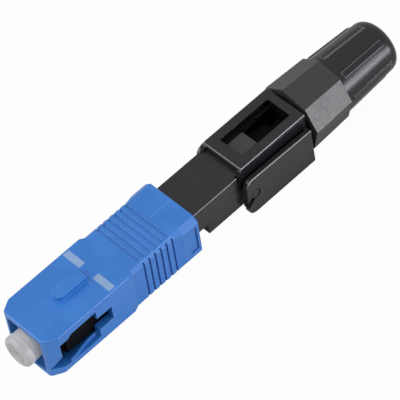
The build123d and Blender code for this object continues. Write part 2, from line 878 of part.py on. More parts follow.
# Press lever: two arms joined by a web below the body
hook_radius = pin_diameter / 2 + hook_gap
lever_web_front = pin_y + lever_web_back
with BuildPart() as press_lever:
    for side in (-1, 1):
        with BuildSketch(Plane.YZ.offset(side * arm_outer)):
            with BuildLine():
                Polyline(
                    (lever_front, lever_bottom),
                    (lever_front, lever_top_front),
                    (body_rear - lever_rear_inset, lever_top_rear),
                    (lever_heel, lever_bottom),
                    close=True,
                )
            make_face()
            fillet(vertices().group_by(Axis.X)[0].sort_by(Axis.Y)[-1], radius=lever_top_round)
            fillet(vertices().group_by(Axis.Y)[0].sort_by(Axis.X)[0], radius=lever_bottom_round)
        extrude(amount=-side * lever_arm)
        with BuildSketch(Plane.YZ.offset(side * (arm_outer - lever_arm))):
            with Locations((pin_y + (lever_hub_back - lever_nose) / 2, pin_z - lever_hub_drop)):
                Rectangle(lever_nose + lever_hub_back, lever_hub_height)
        extrude(amount=-side * (lever_hub - lever_arm))
    with BuildSketch(Plane.XY.offset(lever_bottom)):
        with Locations((0, (lever_web_front + lever_heel) / 2)):
            Rectangle(2 * arm_outer, lever_heel - lever_web_front)
    extrude(amount=lever_web)
    for side in (-1, 1):
        fillet(edges().filter_by_position(Axis.X, side * arm_outer, side * arm_outer), radius=lever_edge)
    # Snap hook: a round seat with a slot that opens forward and down
    with BuildSketch(Plane.YZ):
        with Locations((pin_y, pin_z)):
            Circle(hook_radius)
        with Locations(Location((pin_y, pin_z), lever_slot_angle)):
            with Locations((lever_slot_reach / 2, 0)):
                Rectangle(lever_slot_reach, lever_slot)
    extrude(amount=arm_outer, both=True, mode=Mode.SUBTRACT)
press_lever.part.label = "press_lever"
export_step(press_lever.part, "parts/press_lever.step")

# Cable collet halves inside the threaded tail
for name, sign in (("collet_upper", 1), ("collet_lower", -1)):
    with BuildPart() as collet:
        with BuildSketch(station(collet_front)):
            Circle(spigot_bore / 2)
            Circle(cable_diameter / 2, mode=Mode.SUBTRACT)
            with Locations((0, -sign * (spigot_bore / 2 - collet_split / 2))):
                Rectangle(spigot_bore, spigot_bore, mode=Mode.SUBTRACT)
        extrude(amount=-(collet_rear - collet_front))
        for tooth in range(collet_teeth):
            tooth_y = collet_front + collet_tooth_pitch * (tooth + 1)
            with BuildSketch(station(tooth_y)):
                Circle(cable_diameter / 2 + bore_gap)
                Circle(cable_diameter / 2 - collet_tooth, mode=Mode.SUBTRACT)
                with Locations((0, -sign * (spigot_bore / 2 - collet_split / 2))):
                    Rectangle(spigot_bore, spigot_bore, mode=Mode.SUBTRACT)
            extrude(amount=-collet_tooth_width)
    collet.part.label = name
    export_step(collet.part, "parts/" + name + ".step")

# Tail nut
nut_shoulder = spigot_rear + slide_gap
with BuildPart() as tail_nut:
    with BuildSketch(station(nut_front)):
        octagon(nut_front_flats, nut_corner, -nut_turn)
    with BuildSketch(station(nut_rear)):
        octagon(nut_rear_flats, nut_corner, -nut_turn)
    loft()
    with BuildSketch(Plane.XY):
        with BuildLine():
            Polyline(
                (0, nut_front - nut_mouth),
                (nut_bore + 2 * nut_mouth, nut_front - nut_mouth),
                (nut_bore + nut_mouth, nut_front),
                (nut_bore, nut_front + nut_mouth),
                (nut_bore, nut_shoulder),
                (nut_throat / 2, nut_shoulder),
                (nut_throat / 2, nut_rear),
                (0, nut_rear),
                close=True,
            )
        make_face()
    revolve(axis=Axis.Y, mode=Mode.SUBTRACT)
tail_nut.part.label = "tail_nut"
export_step(tail_nut.part, "parts/tail_nut.step")

# Tail cap with raised ribs
tail_slope = tail_taper / 2 / tail_length
tail_rib_start = tail_front + tail_rib_front
tail_rib_end = tail_rear - tail_rib_back
cable_hole_radius = cable_diameter / 2 + cable_hole_gap
with BuildPart() as tail_cap:
    with BuildSketch(Plane.XY):
        with BuildLine():
            Polyline(
                (0, tail_front),
                (tail_front_diameter / 2, tail_front),
                ((tail_front_diameter - tail_taper) / 2, tail_rear),
                (0, tail_rear),
                close=True,
            )
        make_face()
        fillet(vertices().group_by(Axis.Y)[-1].sort_by(Axis.X)[-1], radius=tail_round)
    revolve(axis=Axis.Y)
    # Ribs follow the taper
    rib_start_radius = tail_front_diameter / 2 - tail_slope * (tail_rib_start - tail_front)
    rib_end_radius = tail_front_diameter / 2 - tail_slope * (tail_rib_end - tail_front)
    for k in range(tail_ribs):
        rib_plane = Plane.XY.rotated((0, -(tail_rib_angle + k * 360 / tail_ribs), 0))
        with BuildSketch(rib_plane):
            Polygon(
                (rib_start_radius - tail_rib_width, tail_rib_start),
                (rib_start_radius + tail_rib_rise, tail_rib_start),
                (rib_end_radius + tail_rib_rise, tail_rib_end - tail_rib_end_slope),
                (rib_end_radius, tail_rib_end),
                (rib_end_radius - tail_rib_width, tail_rib_end),
                align=None,
            )
        extrude(amount=tail_rib_width / 2, both=True)
    # Plug into the nut, hollow for the gasket and the cable hole
    with BuildSketch(station(tail_front)):
        Circle(nut_throat / 2)
    extrude(amount=tail_plug_length)
    with BuildSketch(station(tail_front - tail_plug_length)):
        Circle(tail_hollow / 2)
    extrude(amount=-(tail_hollow_rear - tail_front + tail_plug_length), mode=Mode.SUBTRACT)
    with BuildSketch(Plane.XY):
        with BuildLine():
            Polyline(
                (0, tail_hollow_rear - slide_gap),
                (cable_hole_radius, tail_hollow_rear - slide_gap),
                (cable_hole_radius, tail_rear - cable_hole_flare),
                (cable_hole_radius + cable_hole_flare, tail_rear),
                (0, tail_rear),
                close=True,
            )
        make_face()
    revolve(axis=Axis.Y, mode=Mode.SUBTRACT)
tail_cap.part.label = "tail_cap"
export_step(tail_cap.part, "parts/tail_cap.step")

# Soft gasket round the cable
with BuildPart() as cable_gasket:
    with BuildSketch(station(gasket_front)):
        Circle(tail_hollow / 2 - bore_gap)
        Circle((cable_diameter - gasket_squeeze) / 2, mode=Mode.SUBTRACT)
    extrude(amount=-gasket_length)
    for ring in range(gasket_rings):
        with BuildSketch(station(gasket_front + gasket_ring_pitch * (ring + 1) - gasket_ring_width / 2)):
            Circle(tail_hollow / 2)
            Circle(tail_hollow / 2 - bore_gap - gasket_groove, mode=Mode.SUBTRACT)
        extrude(amount=-gasket_ring_width, mode=Mode.SUBTRACT)
cable_gasket.part.label = "cable_gasket"
export_step(cable_gasket.part, "parts/cable_gasket.step")
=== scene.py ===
# %% [markdown]
# An optical plug that is fitted to a cable in the field, without glue or polishing.
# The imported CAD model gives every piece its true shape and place, and it is never moved here.
# This lesson adds the camera, the light and the finish of each plastic, metal and ceramic piece.
# It also grows one shape that follows a rule: the thread that the nut runs on.

# %% Load the fixed frame
import math

import bpy
from mathutils import Matrix, Vector


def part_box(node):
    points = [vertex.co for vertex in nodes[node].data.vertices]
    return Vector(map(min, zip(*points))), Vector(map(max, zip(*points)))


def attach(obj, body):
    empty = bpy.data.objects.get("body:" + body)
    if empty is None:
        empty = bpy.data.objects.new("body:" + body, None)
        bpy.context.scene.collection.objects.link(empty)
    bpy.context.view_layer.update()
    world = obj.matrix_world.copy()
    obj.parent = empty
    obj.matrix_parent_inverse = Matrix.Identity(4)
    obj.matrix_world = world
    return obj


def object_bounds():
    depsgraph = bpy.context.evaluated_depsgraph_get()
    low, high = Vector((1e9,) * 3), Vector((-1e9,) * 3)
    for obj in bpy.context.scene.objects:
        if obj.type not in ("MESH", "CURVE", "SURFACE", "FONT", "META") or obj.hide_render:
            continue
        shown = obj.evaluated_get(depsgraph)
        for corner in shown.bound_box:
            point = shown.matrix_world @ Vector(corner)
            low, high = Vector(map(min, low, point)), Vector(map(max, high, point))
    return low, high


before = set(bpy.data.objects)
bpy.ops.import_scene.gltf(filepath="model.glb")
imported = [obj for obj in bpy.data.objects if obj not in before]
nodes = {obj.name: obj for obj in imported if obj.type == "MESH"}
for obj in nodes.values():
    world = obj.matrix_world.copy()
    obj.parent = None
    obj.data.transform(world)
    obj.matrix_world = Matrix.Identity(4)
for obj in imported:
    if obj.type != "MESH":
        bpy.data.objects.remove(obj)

MM = 0.001
cad_low, cad_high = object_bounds()
print("CAD box in mm:", [round(v / MM, 2) for v in (*cad_low, *cad_high)])

# %% [markdown]
# Plastic, metal and ceramic all need surfaces that vary a little from place to place.
# In Blender such variation is a web of small nodes, which is hard to read when it is wired by hand.
# Here a small class stands for one number on the surface, so that plain sums become Math nodes.

# %% A number that varies over a surface
MASK_SOFT = 0.03


class Signal:
    """One socket that carries a number. Sums with it add Math nodes to its web of nodes."""

    def __init__(self, web, socket):
        self.web = web
        self.socket = socket

    def math(self, operation, first, second=0.0):
        node = self.web.add("ShaderNodeMath", {"operation": operation}, {0: first, 1: second})
        return Signal(self.web, node.outputs[0])

    def __add__(self, other):
        return self.math("ADD", self, other)

    def __rsub__(self, other):
        return self.math("SUBTRACT", other, self)

    def __mul__(self, other):
        return self.math("MULTIPLY", self, other)

    def __truediv__(self, other):
        return self.math("DIVIDE", self, other)

    def __abs__(self):
        return self.math("ABSOLUTE", self)

    __radd__ = __add__
    __rmul__ = __mul__

    def above(self, limit):
        """1 where this number is over the limit, and 0 elsewhere."""
        return self.math("GREATER_THAN", self, limit)

    def ramp(self, low, high):
        """A smooth rise from 0 at low to 1 at high."""
        node = self.web.add(
            "ShaderNodeMapRange",
            {"interpolation_type": "SMOOTHSTEP"},
            {"Value": self, "From Min": low, "From Max": high},
        )
        return Signal(self.web, node.outputs[0])

    def below(self, limit, soft=MASK_SOFT):
        """1 under the limit and 0 over it, with a fade of that many millimetres on each side."""
        return 1 - self.ramp(limit - soft, limit + soft)

    def between(self, low, high, soft=MASK_SOFT):
        """1 from low to high and 0 elsewhere, with the same fades."""
        return self.ramp(low - soft, low + soft) * self.below(high, soft)

# %% [markdown]
# A shader and a node group are both webs of nodes, so one small class adds the nodes of both.
# A node's settings go in before its sockets, because a setting can change which sockets it has.

# %% One way to add any node
class NodeWeb:
    """A node tree with one way to add any node."""

    def __init__(self, tree):
        self.tree = tree

    def add(self, kind, settings=None, sockets=None):
        """Adds a node: its settings first, then the values or links of its sockets."""
        node = self.tree.nodes.new(kind)
        for key, value in (settings or {}).items():
            setattr(node, key, value)
        for key, value in (sockets or {}).items():
            self.feed(node.inputs[key], value)
        return node

    def feed(self, socket, value):
        """Puts a number, a colour, a signal or another node's output into a socket."""
        if isinstance(value, Signal):
            value = value.socket
        if isinstance(value, bpy.types.NodeSocket):
            self.tree.links.new(value, socket)
        else:
            socket.default_value = value

# %% [markdown]
# A finish is one material under construction: a Principled shader and the nodes that feed it.
# Its patterns are measured in millimetres on the piece itself, so they stay put when the piece moves.
# Its edge signal compares the true face with a slightly rounded one, which finds every sharp edge.

# %% A material under construction
BEVEL_SAMPLES = 8
EDGE_START, EDGE_FULL = 0.01, 0.25
MIX_FACTOR, MIX_FIRST, MIX_SECOND, MIX_RESULT = 0, 6, 7, 2


class Finish(NodeWeb):
    """A procedural material for one kind of surface."""

    def __init__(self, name, edge_radius=0.0):
        self.material = bpy.data.materials.new(name)
        self.material.use_nodes = True
        super().__init__(self.material.node_tree)
        self.shader = self.tree.nodes["Principled BSDF"]
        place = self.add("ShaderNodeTexCoord").outputs["Object"]
        scaled = self.add("ShaderNodeVectorMath", {"operation": "SCALE"}, {0: place, "Scale": 1 / MM})
        self.place = scaled.outputs[0]
        split = self.add("ShaderNodeSeparateXYZ", {}, {0: self.place})
        self.x, self.y, self.z = (Signal(self, split.outputs[axis]) for axis in "XYZ")
        self.rounded = None
        if edge_radius:
            bevel = self.add("ShaderNodeBevel", {"samples": BEVEL_SAMPLES}, {"Radius": edge_radius * MM})
            self.rounded = bevel.outputs[0]

    def noise(self, grain, detail=2.0, roughness=0.5):
        """Noise from 0 to 1 with grains of about that many millimetres."""
        node = self.add(
            "ShaderNodeTexNoise",
            {},
            {"Vector": self.place, "Scale": 1 / grain, "Detail": detail, "Roughness": roughness},
        )
        return Signal(self, node.outputs[0])

    def stretched_noise(self, across, along, detail=2.0):
        """Noise with its own grain across the piece and along Y, for flow marks or turned rings."""
        scaled = self.add(
            "ShaderNodeVectorMath",
            {"operation": "MULTIPLY"},
            {0: self.place, 1: (1 / across, 1 / along, 1 / across)},
        )
        node = self.add(
            "ShaderNodeTexNoise", {}, {"Vector": scaled.outputs[0], "Scale": 1.0, "Detail": detail}
        )
        return Signal(self, node.outputs[0])

    def edges(self):
        """Near 1 on a sharp outer or inner edge, and 0 on a flat face."""
        true_face = self.add("ShaderNodeNewGeometry").outputs["Normal"]
        dot = self.add(
            "ShaderNodeVectorMath", {"operation": "DOT_PRODUCT"}, {0: self.rounded, 1: true_face}
        )
        return (1 - Signal(self, dot.outputs["Value"])).ramp(EDGE_START, EDGE_FULL)

    def tint(self, factor, low, high):
        """A colour between two, by a signal."""
        sockets = {MIX_FACTOR: factor, MIX_FIRST: rgba(low), MIX_SECOND: rgba(high)}
        node = self.add("ShaderNodeMix", {"data_type": "RGBA"}, sockets)
        return node.outputs[MIX_RESULT]

    def bump(self, height, depth, strength=1.0):
        """A normal from a height signal; depth is the height of 1 in millimetres."""
        inputs = {"Height": height, "Distance": depth * MM, "Strength": strength}
        if self.rounded:
            inputs["Normal"] = self.rounded
        return self.add("ShaderNodeBump", {}, inputs).outputs[0]

    def set(self, **values):
        """Feeds the Principled shader; an underscore in a name stands for a space."""
        for key, value in values.items():
            self.feed(self.shader.inputs[key.replace("_", " ")], value)
        return self.material

# %% [markdown]
# Colours are written as a colour picker shows them, and Blender mixes them in linear light.
# A piece gets its finish by name, and only its material changes.

# %% Colours, and the finish on a piece
def rgba(colour):
    """A colour with its alpha, or a socket as it is."""
    if isinstance(colour, bpy.types.NodeSocket):
        return colour
    return (*colour, 1.0)


def linear(channel):
    """One channel of a colour picker, from 0 to 255, as linear light."""
    share = channel / 255
    return share / 12.92 if share <= 0.04045 else ((share + 0.055) / 1.055) ** 2.4


def srgb(red, green, blue):
    """Linear colour from the 0 to 255 numbers that a colour picker shows."""
    return tuple(linear(channel) for channel in (red, green, blue))


def paint(material, *names):
    """Gives CAD nodes their material."""
    for name in names:
        nodes[name].data.materials.clear()
        nodes[name].data.materials.append(material)
    print(material.name, "on", ", ".join(names))

# %% [markdown]
# The coupling housing is blue nylon with a fine satin skin from its mould.
# Two pale bars are printed behind the key, and the halves of the mould leave a thin line on the collar.
# Bars and line are masks on the top face, because they are ink and a trace, and have no thickness.
# The line is a raised bump, and its paler blue is a painted highlight.

# %% Where ink and mould line lie, in millimetres
BAR_INNER, BAR_OUTER = 1.2, 4.17
BAR_FRONT, BAR_REAR = 10.7, 11.73
LINE_HALF_WIDTH = 0.035
LINE_FRONT, LINE_REAR = 21.9, 25.7
TOP_FACE = 3.6

nylon = Finish("blue_nylon", edge_radius=0.08)
grain = nylon.noise(grain=0.11)
worn_ink = 0.86 + 0.14 * grain.ramp(0.3, 0.5)
bars = abs(nylon.x).between(BAR_INNER, BAR_OUTER) * nylon.y.between(BAR_FRONT, BAR_REAR)
bars = bars * nylon.z.above(TOP_FACE) * worn_ink
line = abs(nylon.x).below(LINE_HALF_WIDTH) * nylon.y.between(LINE_FRONT, LINE_REAR)
line = line * nylon.z.above(TOP_FACE)
print("bars in mm:", BAR_OUTER - BAR_INNER, "by", round(BAR_REAR - BAR_FRONT, 2))

# %% Blue nylon of the coupling housing
DEEP_BLUE = srgb(38, 110, 191)
CLEAR_BLUE = srgb(44, 116, 197)
PAINTED_EDGE_HIGHLIGHT_BLUE, PAINTED_EDGE_HIGHLIGHT_SHARE = srgb(130, 184, 242), 0.7
LINE_HIGHLIGHT_BLUE, LINE_HIGHLIGHT_SHARE = srgb(120, 170, 232), 0.5
INK = srgb(132, 161, 199)
LINE_HEIGHT, INK_HEIGHT, FLOW_HEIGHT = 4, 1.5, 0.6

clouds = nylon.noise(grain=4.0, detail=3.0)
flow = nylon.stretched_noise(across=0.5, along=5.0)
blue = nylon.tint(clouds.ramp(0.35, 0.65), DEEP_BLUE, CLEAR_BLUE)
# Every sharp edge is tinted paler blue: a painted highlight.
blue = nylon.tint(nylon.edges() * PAINTED_EDGE_HIGHLIGHT_SHARE, blue, PAINTED_EDGE_HIGHLIGHT_BLUE)
blue = nylon.tint(bars, blue, INK)
# The mould line is tinted paler: a painted highlight along it.
blue = nylon.tint(line * LINE_HIGHLIGHT_SHARE, blue, LINE_HIGHLIGHT_BLUE)
relief = grain + FLOW_HEIGHT * flow + LINE_HEIGHT * line + INK_HEIGHT * bars
nylon_skin = nylon.set(
    Base_Color=blue,
    Roughness=0.28 + 0.08 * grain,
    IOR=1.50,
    Specular_IOR_Level=0.65,
    Normal=nylon.bump(relief, depth=0.004, strength=0.5),
)
paint(nylon_skin, "outer_housing")

# %% [markdown]
# The rear body, lever, nut and cover are black moulded plastic, satin on most pieces.
# Black is never plain: a fine sparkle shows where the skin faces a lamp, and every edge gets a painted
# highlight.
# One function makes all the black finishes, with its numbers set by how polished the mould is.
# A rim is a mask for a rounding that gets a painted highlight. A shade mask is for what looks black on
# the real object: it gets painted shade, a rough skin and part of the metal model, because a metal
# mirrors only in its own colour, and that is nearly black here.

# %% Black mouldings
# The pale colour of the painted highlight on rounded edges.
PAINTED_RIM_HIGHLIGHT = srgb(150, 148, 152)
# The near-black colour of the painted shade.
PAINTED_SHADE = srgb(18, 18, 18)
SHADE_ROUGHER = 0.4
SHADE_METAL = 0.7
SPECK_LIGHTER = 1.5
SLOW_GLOSS = 0.10
DRAWN_HEIGHT = 0.4


def black_moulding(name, base, roughness, grain_size, grain_depth, edge_highlight, edge_radius=0.08,
                   edge_share=0.5, level=0.4, sparkle=0.06, highlight_rim=None, shade_mask=None):
    """Black plastic with a fine grain, painted highlights on edges and rims, painted shade where masked,
    and slow changes of gloss.
    """
    finish = Finish(name, edge_radius)
    speck = finish.noise(grain_size, roughness=0.6)
    slow = finish.noise(grain=3.0)
    drawn = finish.stretched_noise(across=0.35, along=6.0)
    lighter = tuple(SPECK_LIGHTER * channel for channel in base)
    colour = finish.tint(speck.ramp(0.45, 0.75), base, lighter)
    # Every edge is tinted paler: a painted highlight.
    colour = finish.tint(finish.edges() * edge_share, colour, edge_highlight)
    # The rim mask tints a rounding pale: a painted highlight.
    if highlight_rim:
        colour = finish.tint(highlight_rim(finish), colour, PAINTED_RIM_HIGHLIGHT)
    gloss = roughness - SLOW_GLOSS / 2 + SLOW_GLOSS * slow + sparkle * speck.ramp(0.3, 0.7)
    # The shade mask darkens colour and reflection: painted shade.
    if shade_mask:
        shaded = shade_mask(finish)
        colour = finish.tint(shaded, colour, PAINTED_SHADE)
        gloss = gloss + SHADE_ROUGHER * shaded
        finish.set(Metallic=SHADE_METAL * shaded)
    return finish.set(
        Base_Color=colour,
        Roughness=gloss,
        IOR=1.5,
        Specular_IOR_Level=level,
        Normal=finish.bump(speck + DRAWN_HEIGHT * drawn, grain_depth, strength=0.6),
    )

# %% [markdown]
# The long upper edges of body and cover are softly rounded, and so is the outline of the lever.
# The rounding gets a painted highlight, a paler colour. It lies in the corner between top and side, or
# just inside the lever's side. The masks take their places from the boxes of the pieces, so they follow
# the CAD model.

# %% Measure the black pieces, in millimetres
cover_low, cover_high = (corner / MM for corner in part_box("window_cover"))
lever_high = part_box("press_lever")[1] / MM
front_part = [
    corner.co / MM
    for corner in nodes["main_body"].data.vertices
    if corner.co.y / MM < cover_low.y
]
body_side = max(corner.x for corner in front_part)
body_top = max(corner.z for corner in front_part)
print("body side and top in mm:", round(body_side, 3), round(body_top, 3))
print("cover side and top:", round(cover_high.x, 3), round(cover_high.z, 3))
print("lever side:", round(lever_high.x, 3))

# %% Masks for the painted highlight on the roundings
RIM_WIDTH = 0.13
RIM_CLEAR = 0.012
RIM_SOFT = 0.01
OUTLINE_FADE = 1.2


def rim_band(distance, face):
    """A mask for the narrow band just under an outer face at that distance."""
    return distance.between(face - RIM_WIDTH, face - RIM_CLEAR, RIM_SOFT)


def upper_edges(side, top):
    """A mask for the rounding between a top face and both side faces."""
    return lambda finish: rim_band(abs(finish.x), side) * rim_band(finish.z, top)


def side_outline(side, top):
    """A mask for the band just inside both outer side faces, which fades downwards from the top."""
    return lambda finish: rim_band(abs(finish.x), side) * finish.z.ramp(top - OUTLINE_FADE, top)

# %% [markdown]
# The lugs in front of the cover, the walls of its window and the body seen through it all look
# black on the real object, because little light gets in there and out again. A mask puts painted
# shade there: a near-black colour, a rougher skin and part of the metal model. The cover's rounded
# nose lies between lugs and window, and stays glossy.

# %% Masks for the painted shade
LUG_LENGTH = 0.72
SKIRT_WIDTH = 0.6
REAR_MARGIN = 0.2
NOSE_LENGTH = 1.2
WALL_FADE = 0.10

plate_front = cover_low.y + LUG_LENGTH
window_reach = cover_high.x - SKIRT_WIDTH
plate_rear = cover_high.y - REAR_MARGIN


def cover_shade_mask(finish):
    """A painted-shade mask for the cover's sloping lugs and for the walls round its window."""
    lugs = 1 - finish.y.ramp(plate_front - RIM_WIDTH, plate_front)
    walls = abs(finish.x).below(window_reach) * finish.y.between(plate_front + NOSE_LENGTH, plate_rear)
    return lugs + walls * (1 - finish.z.ramp(cover_high.z - WALL_FADE, cover_high.z - RIM_CLEAR))


def body_shade_mask(finish):
    """A painted-shade mask for the body under the window. It has no lower limit, so the underside gets
    the painted shade too.
    """
    return abs(finish.x).below(window_reach) * finish.y.between(plate_front, plate_rear)


print("cover plate in mm: from", round(plate_front, 2), "to", round(plate_rear, 2))

# %% Paint the satin pieces
SATIN = {
    "base": (0.0145, 0.0145, 0.0155),
    "roughness": 0.22,
    "grain_size": 0.12,
    "grain_depth": 0.004,
    "edge_highlight": srgb(74, 73, 76),
}
COARSE = {**SATIN, "base": (0.030, 0.030, 0.031), "grain_depth": 0.012}

satin_body = black_moulding(
    "black_satin_body", highlight_rim=upper_edges(body_side, body_top), shade_mask=body_shade_mask, **SATIN
)
satin_lever = black_moulding(
    "black_satin_lever", highlight_rim=side_outline(lever_high.x, lever_high.z), **SATIN
)
satin_nut = black_moulding("black_satin_nut", sparkle=0.20, **COARSE)
matt_grey = black_moulding(
    "grey_matt", base=(0.038, 0.038, 0.038), roughness=0.45, grain_size=0.12,
    grain_depth=0.004, edge_highlight=srgb(84, 84, 84), edge_radius=0.05,
)
paint(satin_body, "main_body", "body_floor")
paint(satin_lever, "press_lever")
paint(satin_nut, "tail_nut")
paint(matt_grey, "slide_button", "collet_upper", "collet_lower")

# %% [markdown]
# The cover and the tail cap come from polished moulds, so they share a smoother finish.
# The cap has long raised ribs with soft edges, so the painted highlight on its edges is wider and much
# paler.

# %% Paint the glossy pieces
GLOSSY_BASE = (0.012, 0.010, 0.013)

gloss_cover = black_moulding(
    "black_gloss_cover", base=GLOSSY_BASE, roughness=0.14, grain_size=0.25, grain_depth=0.001,
    edge_highlight=srgb(70, 67, 72), edge_radius=0.04, level=0.45, sparkle=0.02,
    highlight_rim=upper_edges(cover_high.x, cover_high.z), shade_mask=cover_shade_mask,
)
# The cap's edges are tinted much paler: a painted highlight on the ribs.
gloss_cap = black_moulding(
    "black_gloss_cap", base=GLOSSY_BASE, roughness=0.25, grain_size=0.25, grain_depth=0.0003,
    edge_highlight=srgb(165, 163, 168), edge_radius=0.13, edge_share=0.8, sparkle=0.0,
)
paint(gloss_cover, "window_cover")
paint(gloss_cap, "tail_cap")

# %% [markdown]
# Inside, the splice parts and the plug frame are near-black with almost no reflection: painted shade,
# so that nothing pale shows through the window. The clip round them is spring steel, near-black as
# painted shade.

# %% Splice parts and the dark clip
# Near-black and almost without reflection: painted shade.
splice_painted_shade = black_moulding(
    "splice_painted_shade", base=(0.004, 0.004, 0.004), roughness=0.45, grain_size=0.15,
    grain_depth=0.003, edge_highlight=srgb(20, 20, 20), edge_radius=0.03, level=0.04,
)
# Near-black steel: painted shade.
clip_finish = Finish("clip_steel_painted_shade")
clip_drawn = clip_finish.stretched_noise(across=0.06, along=3.0)
clip_steel_shade = clip_finish.set(
    Base_Color=clip_finish.tint(clip_drawn, (0.006, 0.006, 0.007), (0.014, 0.014, 0.015)),
    Roughness=0.42 + 0.15 * clip_drawn,
    Metallic=1.0,
    Normal=clip_finish.bump(clip_drawn, depth=0.002),
)
paint(splice_painted_shade, "plug_frame", "splice_base", "splice_lid", "fibre_guide")
paint(clip_steel_shade, "splice_clip")

# %% [markdown]
# The dust cap is a milky polyethylene moulding that lets some light through.
# Its skin is waxy. On the real one the end looks greyer than the barrel, so the base colour gets
# paler over the first millimetre, as painted light on the barrel. Scattering under the skin gives the
# milky depth.

# %% Milky dust cap
CAP_GREY = srgb(182, 181, 182)
CAP_PALE_GREY = srgb(198, 197, 198)
CAP_BARREL_PAINTED_LIGHT = srgb(222, 221, 222)
CAP_EDGE_HIGHLIGHT, CAP_EDGE_HIGHLIGHT_SHARE = srgb(230, 229, 230), 0.5
BARREL_START, BARREL_FULL = 0.3, 1.2

cap_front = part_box("dust_cap")[0].y / MM
cap = Finish("milky_polyethylene", edge_radius=0.12)
cap_cloud = cap.noise(grain=1.2, detail=3.0)
cap_grain = cap.noise(grain=0.15)
behind_end = cap.y.ramp(cap_front + BARREL_START, cap_front + BARREL_FULL)
cap_colour = cap.tint(cap_cloud.ramp(0.3, 0.7), CAP_GREY, CAP_PALE_GREY)
# The barrel is tinted paler than the end: painted light.
cap_colour = cap.tint(behind_end, cap_colour, CAP_BARREL_PAINTED_LIGHT)
# Every edge of the cap is tinted paler: a painted highlight.
cap_colour = cap.tint(cap.edges() * CAP_EDGE_HIGHLIGHT_SHARE, cap_colour, CAP_EDGE_HIGHLIGHT)
milky = cap.set(
    Base_Color=cap_colour,
    Roughness=0.34 + 0.12 * cap_cloud,
    IOR=1.46,
    Transmission_Weight=0.3,
    Subsurface_Weight=0.8,
    Subsurface_Radius=(1.0, 1.0, 1.0),
    Subsurface_Scale=2 * MM,
    Normal=cap.bump(cap_cloud + 0.4 * cap_grain, depth=0.012, strength=0.6),
)
paint(milky, "dust_cap")

# %% [markdown]
# The ferrule is ground zirconia, its holder and the spring seat are turned and nickel plated brass,
# and the spring is drawn steel wire. Grinding and turning leave fine rings round Y, so the noise of
# both is narrow along Y and wide across it.

# %% Ceramic and metal
ceramic = Finish("ground_zirconia", edge_radius=0.05)
ground = ceramic.stretched_noise(across=0.8, along=0.03)
zirconia = ceramic.set(
    Base_Color=ceramic.tint(ceramic.noise(grain=0.8), srgb(232, 230, 222), srgb(240, 238, 232)),
    Roughness=0.16 + 0.10 * ground,
    IOR=2.1,
    Specular_IOR_Level=0.5,
    Normal=ceramic.bump(ground, depth=0.0012),
)
plated = Finish("nickel_plated_brass", edge_radius=0.04)
turned = plated.stretched_noise(across=6.0, along=0.05)
nickel = plated.set(
    Base_Color=plated.tint(turned, srgb(176, 168, 150), srgb(206, 199, 182)),
    Roughness=0.26 + 0.16 * turned,
    Metallic=1.0,
    Normal=plated.bump(turned, depth=0.003),
)
wire = Finish("spring_wire")
drawn_wire = wire.noise(grain=0.12, detail=3.0)
spring_steel = wire.set(
    Base_Color=wire.tint(drawn_wire, srgb(150, 150, 152), srgb(186, 186, 188)),
    Roughness=0.28 + 0.18 * drawn_wire,
    Metallic=1.0,
    Normal=wire.bump(drawn_wire, depth=0.002),
)
paint(zirconia, "ferrule")
paint(nickel, "ferrule_flange", "spring_seat")
paint(spring_steel, "ferrule_spring")

# %% [markdown]
# The gasket is soft black rubber with a dusty bloom, and the fibre is bare glass.
# Bloom is only a paler, rougher cloud on the skin. The glass has hardly any pattern of its own.

# %% Rubber and glass fibre
rubber = Finish("soft_rubber", edge_radius=0.06)
bloom = rubber.noise(grain=0.7, detail=4.0)
rubber_skin = rubber.set(
    Base_Color=rubber.tint(bloom.ramp(0.4, 0.8), (0.020, 0.020, 0.020), (0.050, 0.049, 0.048)),
    Roughness=0.68 + 0.16 * bloom,
    Specular_IOR_Level=0.35,
    Normal=rubber.bump(bloom, depth=0.008),
)
fibre = Finish("glass_fibre")
fibre_glass = fibre.set(
    Base_Color=fibre.tint(fibre.noise(grain=1.5), (0.86, 0.90, 0.95), (0.94, 0.97, 1.0)),
    Roughness=0.06 + 0.05 * fibre.noise(grain=0.5),
    IOR=1.46,
    Transmission_Weight=0.6,
)
paint(rubber_skin, "cable_gasket")
paint(fibre_glass, "fibre_stub")

# %% [markdown]
# The nut runs on a thread, which shows when it is unscrewed. A thread is a trapezoid swept along
# a helix, so Geometry Nodes make it from a spiral, with a size that fades out at both ends.
# Its place and size are read from the plain tail of the body, which carries it.

# %% Read the plain tail of the body
SAME_PLANE = 0.01 * MM

tail_points = [corner.co for corner in nodes["main_body"].data.vertices]
tail_end = max(point.y for point in tail_points)
tail_root = max(math.hypot(point.x, point.z) for point in tail_points if point.y > tail_end - SAME_PLANE)
nut_start = min(corner.co.y for corner in nodes["tail_nut"].data.vertices)
print("tail radius in mm:", round(tail_root / MM, 3), "end:", round(tail_end / MM, 2))

# %% [markdown]
# The node group is built once, from named sizes. The spiral runs upwards and its profile is drawn
# flat, so the profile is turned outwards before the sweep and the result is laid along Y after it.

# %% Node group of the thread
THREAD_SIZES = ("Middle Radius", "Pitch", "Length", "Height", "Foot Width", "Crest Width", "Fade")
POINTS_PER_TURN = 48
QUARTER_TURN = math.pi / 2


def thread_path(web, sizes):
    """A helix round Z with its normals upright."""
    turns = Signal(web, sizes["Length"]) / Signal(web, sizes["Pitch"])
    helix = web.add(
        "GeometryNodeCurveSpiral",
        {},
        {
            "Resolution": POINTS_PER_TURN,
            "Rotations": turns,
            "Start Radius": sizes["Middle Radius"],
            "End Radius": sizes["Middle Radius"],
            "Height": sizes["Length"],
        },
    )
    return web.add("GeometryNodeSetCurveNormal", {"mode": "Z_UP"}, {"Curve": helix.outputs[0]}).outputs[0]


